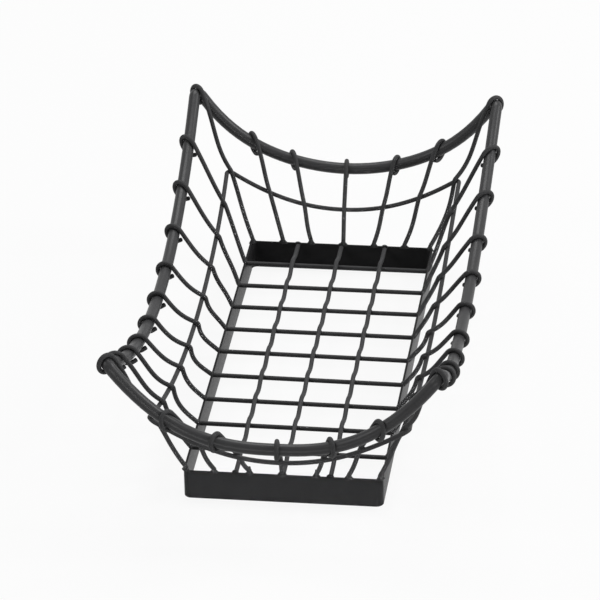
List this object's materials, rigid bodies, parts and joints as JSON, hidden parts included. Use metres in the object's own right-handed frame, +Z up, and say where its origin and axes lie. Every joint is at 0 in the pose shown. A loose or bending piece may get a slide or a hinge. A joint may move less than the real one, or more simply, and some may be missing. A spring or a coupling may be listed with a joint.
{
  "type": "serving basket",
  "caption": "Rectangular wire serving basket with a saddle-shaped rod rim, flared woven walls with wires curled over the rim, and a flat strap base.",
  "frame": {"origin": "centre of the base on the surface that the band stands on", "axes": "+X to the right across the basket, +Y along it towards the back wall, +Z up"},
  "size_m": [0.1853, 0.3362, 0.1026],
  "materials": {
    "band": "satin charcoal powder coat on steel strap",
    "rim": "satin charcoal powder coat on steel rod",
    "wire": "satin charcoal powder coat on steel wire"
  },
  "bodies": {
    "root": {"base_band": "band", "rim_rod": "rim", "middle_ring": "wire", "crosswise_wire_1": "wire", "crosswise_wire_2": "wire", "crosswise_wire_3": "wire", "crosswise_wire_4": "wire", "crosswise_wire_5": "wire", "crosswise_wire_6": "wire", "crosswise_wire_7": "wire", "crosswise_wire_8": "wire", "crosswise_wire_9": "wire", "lengthwise_wire_1": "wire", "lengthwise_wire_2": "wire", "lengthwise_wire_3": "wire", "back_wall_wire_1": "wire", "back_wall_wire_2": "wire", "back_wall_wire_3": "wire", "back_wall_wire_4": "wire", "back_wall_wire_5": "wire", "corner_wire_back_left": "wire", "corner_wire_back_right": "wire", "front_wall_wire_1": "wire", "front_wall_wire_2": "wire", "front_wall_wire_3": "wire", "front_wall_wire_4": "wire", "front_wall_wire_5": "wire", "corner_wire_front_left": "wire", "corner_wire_front_right": "wire"}
  },
  "joints": []
}
